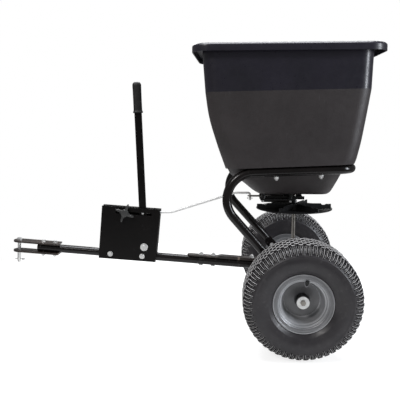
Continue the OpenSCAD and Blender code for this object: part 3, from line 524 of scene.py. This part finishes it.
def cut_outlet(obj):
    """Cuts the outlet through the hopper's floor and collar."""
    bm = bmesh.new()
    block(bm, *OUTLET)
    bm.transform(FROM_AXLE)
    bmesh.ops.recalc_face_normals(bm, faces=bm.faces)
    cutter = mesh_object("hopper_cutter", bm)
    boolean = obj.modifiers.new("outlet", "BOOLEAN")
    boolean.object = cutter
    boolean.operation = "DIFFERENCE"
    boolean.solver = "EXACT"
    boolean.use_self = True
    bpy.context.view_layer.update()
    evaluated = obj.evaluated_get(bpy.context.evaluated_depsgraph_get())
    result = bpy.data.meshes.new_from_object(evaluated)
    obj.modifiers.clear()
    obj.data = result
    bpy.data.objects.remove(cutter)


def build_hopper():
    """One shell in a single loft, from the floor up the outside, over the lip and down inside."""
    inside = [inside_row(index) for index in reversed(range(len(HOPPER_OUTSIDE)))]
    rows = soften(HOPPER_OUTSIDE + LIP + inside, OUTSIDE_CUTS + LIP_CUTS + INSIDE_CUTS)
    bm = bmesh.new()
    skin(bm, [rounded_ring(row) for row in rows], caps=(True, True))
    finishes = [HOPPER_UPPER, HOPPER_LOWER]
    upper, lower = range(len(finishes))
    # Below the crease goes the lighter tone, which is partly painted floor reflection.
    for face in bm.faces:
        middle = face.calc_center_median()
        above = middle.z > CREASE[0] + CREASE[1] * middle.x
        face.material_index = upper if above else lower
    block(bm, *COLLAR, material=lower)
    obj = piece(
        "hopper_shell", bm, FROM_AXLE, finishes, "frame", ["hopper"], angle=HOPPER_ANGLE
    )
    cut_outlet(obj)
    finish_mesh(obj, HOPPER_ANGLE)


# ---- hoop ----

HOOP_HALF_W = 176
HOOP_R = 15
HOOP_WALL = 2
CORNER_R = 52
RUN_LEN = 269.8
BEND_R = 88.4
BEND_ANGLE = 129
BEND_STEPS = 26
CORNER_ARC_STEPS = 14
LEG_LEN = 281.7
LEG_SPLAY = 4.1
HOOP_START = (-151.5, 0, 562.6)     # the front end of the straight top runs
HOOP_LEAN = -2.5
ON_HOOP = FROM_AXLE @ shift(*HOOP_START) @ turn(HOOP_LEAN, "Y")


def hoop_path(side):
    """From the foot of one leg to the rear run; local x runs rearwards along the top run."""
    origin = Vector((0, side * HOOP_HALF_W, 0))
    lean = Matrix.Rotation(math.radians(side * LEG_SPLAY), 3, "X")
    bend = []
    for k in range(BEND_STEPS + 1):
        a = math.radians(BEND_ANGLE * k / BEND_STEPS)
        bend.append(Vector((-BEND_R * math.sin(a), 0, BEND_R * (math.cos(a) - 1))))
    a = math.radians(BEND_ANGLE)
    foot = bend[-1] + Vector((-math.cos(a), 0, -math.sin(a))) * LEG_LEN
    path = [origin + lean @ p for p in [foot] + bend[::-1]]
    corner = Vector((RUN_LEN, side * (HOOP_HALF_W - CORNER_R), 0))
    start = corner + Vector((0, side * CORNER_R, 0))
    return path + arc(corner, start, (0, 0, 1), -side * 90, CORNER_ARC_STEPS)


def build_hoop():
    bm = bmesh.new()
    tube(bm, hoop_path(-1) + hoop_path(1)[::-1], HOOP_R, HOOP_WALL, section=32)
    piece("hoop_tube", bm, ON_HOOP, [FRAME_PAINT], "frame", ["hopper_frame"])


# ---- wheels ----

TYRE_R = 184
CROWN_R = 176.5
CROWN_EDGE_R = 170
PITCHES = 50
CARCASS = [
    (CROWN_R, 0), (CROWN_R, 30), (CROWN_R - 0.5, 47), (172.5, 60), (165.5, 68.5), (157, 73),
    (152, 74.6), (150.5, 76.3), (147.5, 77.0), (145, 76.2), (140, 77.2), (130, 77.2), (119, 75.2),
    (109, 71.2), (106.5, 70.8), (105, 69.4), (100, 66.2), (96.5, 62.6), (94, 60.4), (92, 59.4),
    (80, 59.3), (76.6, 56), (76.6, 41), (84, 42), (87, 51), (98, 55), (112, 63), (130, 68),
    (150, 67.5), (160, 61), (168, 50), (171, 30), (171, 0),
]
SHOULDER = [(176.0, 50.5), (172.8, 59.5), (166.6, 67.4), (160.2, 71.6), (154.0, 74.0)]
TREAD_ROWS = [(-7, 7), (9.5, 23), (25.5, 38), (40.5, 51)]
OUTER_ROW = 3
OUTER_ROW_DROP = 1.6
BLOCK_SHARE = 0.33          # half a block, as a share of the pitch
OUTER_BLOCK_SHARE = 0.30
BLOCK_SINK = 2
BLOCK_TAPER = 0.9
BLOCK_BEVEL = 1.5
LUG_HEIGHT = 3.6
LUG_END_SHARE = 0.35
LUG_CLEARANCE = 0.2
LUG_HALF_ANGLE = 0.019
LUG_TAPER_ANGLE = 0.007

# Places in a tyre's list of materials, and the one of each side of a lug.
CARCASS_LOOK = 0
# The edge look is the pale painted highlight on block bevels and lug sides.
EDGE_HIGHLIGHT_LOOK = 1
TOP_LOOK = 2
LUG_LOOKS = (CARCASS_LOOK, EDGE_HIGHLIGHT_LOOK, TOP_LOOK, EDGE_HIGHLIGHT_LOOK, CARCASS_LOOK, CARCASS_LOOK)


def mirrored_profile(points):
    """Closed outline from its half with y >= 0, whose ends lie on y = 0."""
    return points + [(r, -h) for r, h in points[-2:0:-1]]


def block_on_tread(bm, centre, half, low_y, high_y, top):
    """One tread block: its foot in the crown, its top face a little smaller."""
    rings = []
    levels = (
        (CROWN_R - BLOCK_SINK, 0.0),
        (top - BLOCK_BEVEL, BLOCK_TAPER * 0.8),
        (top, BLOCK_TAPER + BLOCK_BEVEL),
    )
    for r, inset in levels:
        first, last = centre - half + inset / r, centre + half - inset / r
        near, far = low_y + inset, high_y - inset
        corners = ((first, near), (last, near), (last, far), (first, far))
        rings.append([(r * math.sin(a), y, r * math.cos(a)) for a, y in corners])
    skin(bm, rings[:2], caps=(True, False))
    # The bevel ring of each block takes the pale painted highlight.
    skin(bm, rings[1:], material=EDGE_HIGHLIGHT_LOOK)
    bm.faces.new([bm.verts.new(p) for p in rings[2]]).material_index = TOP_LOOK


def shoulder_lug(bm, centre, side, length):
    """A bar that runs down the tyre's shoulder from the tread edge."""
    first, last = centre - LUG_HALF_ANGLE, centre + LUG_HALF_ANGLE
    rings = []
    for i in range(length):
        r, y = SHOULDER[i]
        before, after = SHOULDER[max(i - 1, 0)], SHOULDER[min(i + 1, len(SHOULDER) - 1)]
        along = Vector((after[0] - before[0], after[1] - before[1])).normalized()
        out = Vector((along.y, -along.x))
        height = LUG_HEIGHT * (LUG_END_SHARE if i == length - 1 else 1.0)
        foot = (r - out.x, y - out.y)
        edge = (r + out.x * height / 2, y + out.y * height / 2)
        top = (min(r + out.x * height, TYRE_R - LUG_CLEARANCE), y + out.y * height)
        around = (
            (first, foot), (first, edge), (first + LUG_TAPER_ANGLE, top),
            (last - LUG_TAPER_ANGLE, top), (last, edge), (last, foot),
        )
        rings.append([(p[0] * math.sin(a), side * p[1], p[0] * math.cos(a)) for a, p in around])
    present = len(bm.faces)
    skin(bm, rings, caps=(True, True))
    bm.faces.ensure_lookup_table()
    for k in range(present, len(bm.faces) - 2):
        bm.faces[k].material_index = LUG_LOOKS[(k - present) % len(LUG_LOOKS)]


def build_tyre(side, node, body):
    """The carcass with its tread; the crown between the blocks is as dark as their tops."""
    bm = bmesh.new()
    lathe(bm, mirrored_profile(CARCASS), steps=144)
    for face in bm.faces:
        middle = face.calc_center_median()
        on_crown = math.hypot(middle.x, middle.z) > CROWN_EDGE_R
        face.material_index = TOP_LOOK if on_crown else CARCASS_LOOK
    pitch = TAU / PITCHES
    for k in range(PITCHES):
        for row, (y0, y1) in enumerate(TREAD_ROWS):
            centre = (k + (0.5 if row % 2 else 0.0)) * pitch
            half = pitch * (OUTER_BLOCK_SHARE if row == OUTER_ROW else BLOCK_SHARE)
            top = TYRE_R - OUTER_ROW_DROP if row == OUTER_ROW else TYRE_R
            spans = [(y0, y1)] if row == 0 else [(y0, y1), (-y1, -y0)]
            for low_y, high_y in spans:
                block_on_tread(bm, centre, half, low_y, high_y, top)
        for edge in (-1, 1):
            for half_step in (0, 1):
                shoulder_lug(bm, (k + 0.25 + half_step / 2) * pitch, edge, 4 + half_step)
    finishes = [TYRE, TYRE_EDGE_HIGHLIGHT, TREAD_TOP]
    piece(node + "_tread", bm, at_wheel(side), finishes, body, [node], angle=38)


RIM_FACE = [
    (93.0, 59.6), (93.0, 61.3), (92.1, 62.3), (90.3, 62.4), (88.8, 61.7), (87.7, 60.5),
    (86.2, 60.1), (84.4, 60.4), (82.4, 60.4), (80.4, 59.9), (78.6, 58.7), (77.2, 56.9),
    (76.5, 54.6), (75.4, 53.3), (73.6, 52.7), (72.2, 51.4), (71.2, 48.6), (70.3, 46.4),
    (68.8, 45.4), (66.8, 44.8), (65.4, 43.0), (64.4, 38.0), (63.0, 34.0), (61.0, 28.0),
    (60.0, 20.0), (59.4, 14.0), (57.6, 10.0), (54.4, 7.6), (50.0, 7.0), (34.0, 7.0), (31.0, 8.0),
    (27.0, 8.4), (24.0, 9.2), (21.5, 11.5), (20.0, 15.0), (20.0, 44.0),
]
RIM_UNDER_TYRE = [
    (92.4, 59.1), (91.5, 59.0), (80.0, 58.8), (76.4, 55.5), (76.4, 41), (65.8, 34), (65.8, 0),
]
RIM_INNER_FACE = [
    (93.0, -59.6), (93.0, -61.0), (91.6, -61.5), (79, -61.5), (76, -60), (73.9, -57),
    (73.9, -43), (60.2, -36),
]
RIM_BACK_AND_HUB = [
    (59.6, -30), (59.6, 0), (57, 2.2), (50, 3), (24, 3), (20, 0), (20, -48), (16.2, -48), (16.2, 44),
]
SLEEVE = [(20.6, 12), (20.6, 42.6), (20.0, 43.6), (18.0, 43.9), (18.0, 12)]
VALVE_RING = [(7.6, 36), (7.6, 48.5), (8.2, 50), (8.8, 49.7), (9.1, 48.2), (9.2, 36)]
# A dark plug that fills the valve ring: painted shade where the valve hole lies in shadow.
VALVE_SHADE_PLUG = [(0.2, 37), (0.2, 47.4), (6.8, 47.2), (7.8, 46.4), (7.8, 37)]
VALVE_R = 64
VALVE_ANGLE = 9
VALVE_OVAL = (0.78, 1, 1.4, 1)
AT_VALVE = turn(VALVE_ANGLE, "Y") @ shift(z=VALVE_R) @ Matrix.Diagonal(VALVE_OVAL)
DISC_R = 55
BAND_INNER_R = 79
BAND_OUTER_R = 90.5


def build_rim(side, node, body):
    """Pressed rim with its disc and hub, the hub's sleeve, the ring of the valve, and a dark plug in that
    ring which is painted shade of the valve hole.
    """
    bm = bmesh.new()
    back = [(r, -h) for r, h in RIM_UNDER_TYRE[-2::-1]]
    loop = RIM_FACE[::-1] + RIM_UNDER_TYRE + back + RIM_INNER_FACE + RIM_BACK_AND_HUB
    lathe(bm, loop, steps=128)
    finishes = [RIM_LIT, RIM_DISC_SHADED, RIM_BAND]
    lit_tone, disc, band = range(len(finishes))
    # Lip, steps and barrel take the painted highlight tone, the flange band the middle tone, and the deep
    # disc the painted shade tone.
    for face in bm.faces:
        middle = face.calc_center_median()
        radius = math.hypot(middle.x, middle.z)
        if radius < DISC_R:
            face.material_index = disc
        elif BAND_INNER_R < radius < BAND_OUTER_R:
            face.material_index = band
        else:
            face.material_index = lit_tone
    piece(node + "_wheel", bm, at_wheel(side), finishes, body, [node], angle=28)
    extras = (
        ("hub_sleeve", SLEEVE, 64, Matrix.Identity(4), MOULDED, "black_plastic"),
        ("valve_ring", VALVE_RING, 32, AT_VALVE, RIM_LIT, "rim_paint"),
        # The dark plug is painted shade of the valve hole.
        ("valve_seat", VALVE_SHADE_PLUG, 32, AT_VALVE, SPINNER, "black_plastic"),
    )
    for word, profile, steps, place, finish, slot in extras:
        part = bmesh.new()
        lathe(part, profile, steps)
        name = node.replace("rim", word) + "_wheel"
        piece(name, part, at_wheel(side) @ place, [finish], body, [])


# ---- controls ----

# Height over the grip's foot, and width as a share of the usual width.
GRIP = [
    (0, 1.10), (2, 1.14), (5, 1.14), (7, 1.02), (12, 1.0), (40, 0.99), (76, 1.0), (94, 1.02),
    (99, 1.0), (103.5, 0.9), (106.6, 0.72), (108, 0.45),
]
GRIP_FOOT = 485
GRIP_Y = -9
GRIP_HALF_LENGTH = 15.4
GRIP_HALF_WIDTH = 10.0
GRIP_SIDES = 40
FLUTES = 10
FLUTE_DEPTH = 0.018
FLUTE_LOW = 9
FLUTE_HIGH = 96
OVAL_POWER = 0.8

# Angle and radius along one arm of the knob, and the depth and size of its slices.
KNOB_ARM = [
    (-45, 12.5), (-24, 15.5), (-14, 22), (-7, 30), (-2, 35.4), (3, 35.8), (6, 33), (7, 27),
    (11, 20), (20, 15),
]
KNOB_SLICES = [(0.2, 0.93), (1.6, 0.99), (4.0, 1.0), (8.2, 0.98), (9.6, 0.92), (10.2, 0.8)]
KNOB_ARMS = 4
KNOB_TURN = -20
KNOB_FRONT = -33.6
KNOB_BACK = -20.8
KNOB_HUB = [
    (13.4, KNOB_BACK - 0.6), (14.0, KNOB_BACK - 2.5), (14.0, KNOB_FRONT + 2.6),
    (12.8, KNOB_FRONT + 0.8), (9.0, KNOB_FRONT), (0.2, KNOB_FRONT), (0.2, KNOB_BACK - 0.6),
]


def bulged(share, half):
    """Turns a sine or cosine into a coordinate of a fuller oval."""
    return math.copysign(abs(share) ** OVAL_POWER, share) * half


def build_grip():
    """Vinyl grip: an oval sock with a collar, shallow flutes and a rounded end."""
    bm = bmesh.new()
    rings = []
    for h, k in soften(GRIP, cuts=1.5, steps=2):
        ring = []
        for j in range(GRIP_SIDES):
            a = TAU * j / GRIP_SIDES
            depth = FLUTE_DEPTH if FLUTE_LOW < h < FLUTE_HIGH else 0
            size = k * (1.0 - depth * (0.5 + 0.5 * math.cos(FLUTES * a)))
            x = bulged(math.cos(a), GRIP_HALF_LENGTH) * size
            y = bulged(math.sin(a), GRIP_HALF_WIDTH) * size
            ring.append((x, GRIP_Y + y, GRIP_FOOT + h))
        rings.append(ring)
    skin(bm, rings, caps=(True, True))
    piece("grip_sock", bm, ON_LEVER, [MOULDED], "lever", ["lever_grip"], angle=50)


def build_knob():
    """Four swept arms round a domed hub."""
    outline = []
    for arm in range(KNOB_ARMS):
        for a, r in KNOB_ARM:
            t = math.radians(KNOB_TURN + 360 * arm / KNOB_ARMS + a)
            outline.append((r * math.cos(t), r * math.sin(t)))
    # Each corner gives way to two points, a quarter of the way to either neighbour.
    smooth = []
    for i, (x, z) in enumerate(outline):
        for nx, nz in (outline[i - 1], outline[(i + 1) % len(outline)]):
            smooth.append(((x * 3 + nx) / 4, (z * 3 + nz) / 4))
    bm = bmesh.new()
    rings = [[(x * k, KNOB_BACK - depth, z * k) for x, z in smooth] for depth, k in KNOB_SLICES]
    skin(bm, rings, caps=(True, True))
    lathe(bm, KNOB_HUB, steps=48)
    where = ON_TONGUE @ shift(*STOP_BOLT)
    piece("knob_star", bm, where, [KNOB], "knob", ["star_knob"], angle=35)


# ---- every other node keeps its CAD shape with softened edges ----

# Each row: node, material, width of the softened edge in mm, slot.
REFINED = [
    ("hopper_bolts", ZINC, 0.3, "zinc_bolts"),
    ("bearing_plate_left", FRAME_PAINT, 0.6, "black_steel"),
    ("bearing_plate_right", FRAME_PAINT, 0.6, "black_steel"),
    ("bearing_plate_bolts", ZINC, 0.3, "zinc_bolts"),
    ("axle_tube_left", FRAME_PAINT, 0.4, "black_steel"),
    ("axle_tube_right", FRAME_PAINT, 0.4, "black_steel"),
    ("axle_bushings", NYLON, 0.4, "nylon"),
    ("gearbox_half_left", ALLOY, 0.9, "gearbox_alloy"),
    ("gearbox_half_right", ALLOY, 0.9, "gearbox_alloy"),
    ("gearbox_bolts", ZINC, 0.3, "zinc_bolts"),
    ("tongue_tube", FRAME_PAINT, 0.4, "black_steel"),
    ("tongue_strut", HITCH_PAINT, 0.6, "black_steel"),
    ("strut_bolts", ZINC, 0.3, "zinc_bolts"),
    ("hitch_plate_upper", HITCH_PAINT, 0.7, "black_steel"),
    ("hitch_plate_lower", HITCH_PAINT, 0.7, "black_steel"),
    ("hitch_bolts", ZINC, 0.3, "zinc_bolts"),
    ("control_plate_left", BOX_PAINT, 0.6, "black_steel"),
    ("control_plate_right", BOX_PAINT, 0.6, "black_steel"),
    ("control_bolts", ZINC, 0.3, "zinc_bolts"),
    ("lever_pivot_bolt", ZINC, 0.4, "zinc_bolts"),
    ("pivot_spacers", ZINC, 0.2, "zinc_bolts"),
    ("gate_guide", SPINNER, 0.4, "spinner_plastic"),
    ("drop_chute", FRAME_PAINT, 0.4, "black_steel"),
    ("gate_bolts", ZINC, 0.2, "zinc_bolts"),
    ("shaft_bushing_lower", NYLON, 0.4, "nylon"),
    ("shaft_bushing_upper", NYLON, 0.4, "nylon"),
    ("axle_shaft", BARE_STEEL, 0.5, "bare_steel"),
    ("ring_gear", GEAR_STEEL, 0.2, "gear_steel"),
    ("ring_gear_pin", ZINC, 0.2, "zinc_bolts"),
    ("axle_spacers", MOULDED, 0.4, "black_plastic"),
    ("drive_pin", ZINC, 0.3, "zinc_bolts"),
    ("valve_left", MOULDED, 0.5, "black_plastic"),
    ("valve_right", MOULDED, 0.5, "black_plastic"),
    ("hub_bushings_left", NYLON, 0.4, "nylon"),
    ("hub_bushings_right", NYLON, 0.4, "nylon"),
    ("axle_end_washers", ZINC, 0.4, "zinc_bolts"),
    ("axle_end_bolts", BARE_STEEL, 0.4, "zinc_bolts"),
    ("spinner_shaft", BARE_STEEL, 0.4, "bare_steel"),
    ("pinion", GEAR_STEEL, 0.2, "gear_steel"),
    ("spinner", SPINNER, 0.7, "spinner_plastic"),
    ("agitator", ZINC, 0.4, "zinc_bolts"),
    ("shaft_pins", ZINC, 0.2, "zinc_bolts"),
    ("lever", BOX_PAINT, 0.7, "black_steel"),
    ("stop_bolt", ZINC, 0.3, "zinc_bolts"),
    ("gate_slide", BARE_STEEL, 0.3, "bare_steel"),
    ("control_rod", ROD_ZINC_AND_GLARE, 0.2, "zinc_rod"),
    ("rod_cotter", ZINC, 0.1, "zinc_bolts"),
    ("hitch_pin", ZINC, 0.4, "zinc_bolts"),
    ("hitch_clip", ZINC, 0.1, "zinc_bolts"),
]
for row in REFINED:
    refined(*row)

build_hopper()
build_hoop()
build_tyre(-1, "tyre_left", "drive_axle")
build_tyre(1, "tyre_right", "free_wheel")
build_rim(-1, "rim_left", "drive_axle")
build_rim(1, "rim_right", "free_wheel")
build_grip()
build_knob()


# ---- floor, light and camera ----

FLOOR_R = 1.3
FLOOR_GLOW = 0.31
FLOOR_GLOW_SEEN = 0.8
WORLD_GREY = 0.165

# Each row: name, place, target, size, power and colour.
SOFTBOXES = [
    ("top", (0.0, 0.0, 3.0), (0.0, 0.0, 0.3), (2.4, 1.1), 96, (0.95, 0.97, 1.0)),
    ("key", (-1.6, -2.2, 2.6), (0.1, 0.0, 0.4), (0.8, 0.8), 33, (1.0, 0.98, 0.97)),
    ("side", (2.4, -1.0, 1.15), (0.5, 0.0, 0.8), (0.35, 1.3), 36, (0.9, 0.94, 1.0)),
    ("rear", (0.2, 2.4, 2.2), (0.1, 0.0, 0.5), (2.4, 0.6), 45, (1.0, 1.0, 1.0)),
]

SENSOR_WIDTH = 36
LENS = 49.9
CAMERA_PLACE = (0.1877, -1.9811, 0.7298)
CAMERA_YAW = -0.0688
CAMERA_PITCH = 0.1418


def build_stage():
    """A round sheet of pale paper that glows a little, which keeps the shadows on it soft."""
    bm = bmesh.new()
    bmesh.ops.create_circle(bm, cap_ends=True, segments=96, radius=FLOOR_R)
    floor = mesh_object("floor", bm)
    look = Finish("floor_paper", 0.8, 0.05, specular=0.1)
    share = look.remap(look.noise(1.5, 2), 0.3, 0.7, 0, 1)
    look.colour(look.mix(share, (0.40, 0.40, 0.40), (0.43, 0.43, 0.43)))
    look.shader.inputs["Emission Color"].default_value = (1, 1, 1, 1)
    seen = look.nodes.new("ShaderNodeLightPath").outputs["Is Camera Ray"]
    glow = look.remap(seen, 0, 1, FLOOR_GLOW, FLOOR_GLOW_SEEN)
    look.links.new(glow, look.shader.inputs["Emission Strength"])
    floor.data.materials.append(look.material)


def softbox(name, place, target, size, power, colour):
    light = bpy.data.lights.new(name, "AREA")
    light.shape = "RECTANGLE"
    light.size, light.size_y = size
    light.energy = power
    light.color = colour
    obj = bpy.data.objects.new(name, light)
    obj.location = place
    obj.rotation_euler = (Vector(target) - Vector(place)).to_track_quat("-Z", "Y").to_euler()
    bpy.context.scene.collection.objects.link(obj)


def build_light():
    """A world that is white to the camera and dim grey to all other rays, and four softboxes."""
    world = bpy.data.worlds.new("studio")
    bpy.context.scene.world = world
    world.use_nodes = True
    tree = world.node_tree
    seen = tree.nodes.new("ShaderNodeLightPath").outputs["Is Camera Ray"]
    shade = tree.nodes.new("ShaderNodeMapRange")
    shade.inputs["To Min"].default_value = WORLD_GREY
    shade.inputs["To Max"].default_value = 1.0
    background = tree.nodes["Background"]
    tree.links.new(seen, shade.inputs["Value"])
    tree.links.new(shade.outputs["Result"], background.inputs["Strength"])
    background.inputs["Color"].default_value = (1.0, 1.0, 1.0, 1)
    for box in SOFTBOXES:
        softbox(*box)


def build_camera():
    data = bpy.data.cameras.new("camera")
    data.sensor_width = SENSOR_WIDTH
    data.lens = LENS
    camera = bpy.data.objects.new("camera", data)
    camera.location = CAMERA_PLACE
    camera.rotation_euler = (math.pi / 2 - CAMERA_PITCH, 0, -CAMERA_YAW)
    bpy.context.scene.collection.objects.link(camera)
    bpy.context.scene.camera = camera


build_stage()
build_light()
build_camera()
bpy.context.scene.view_settings.view_transform = "Standard"
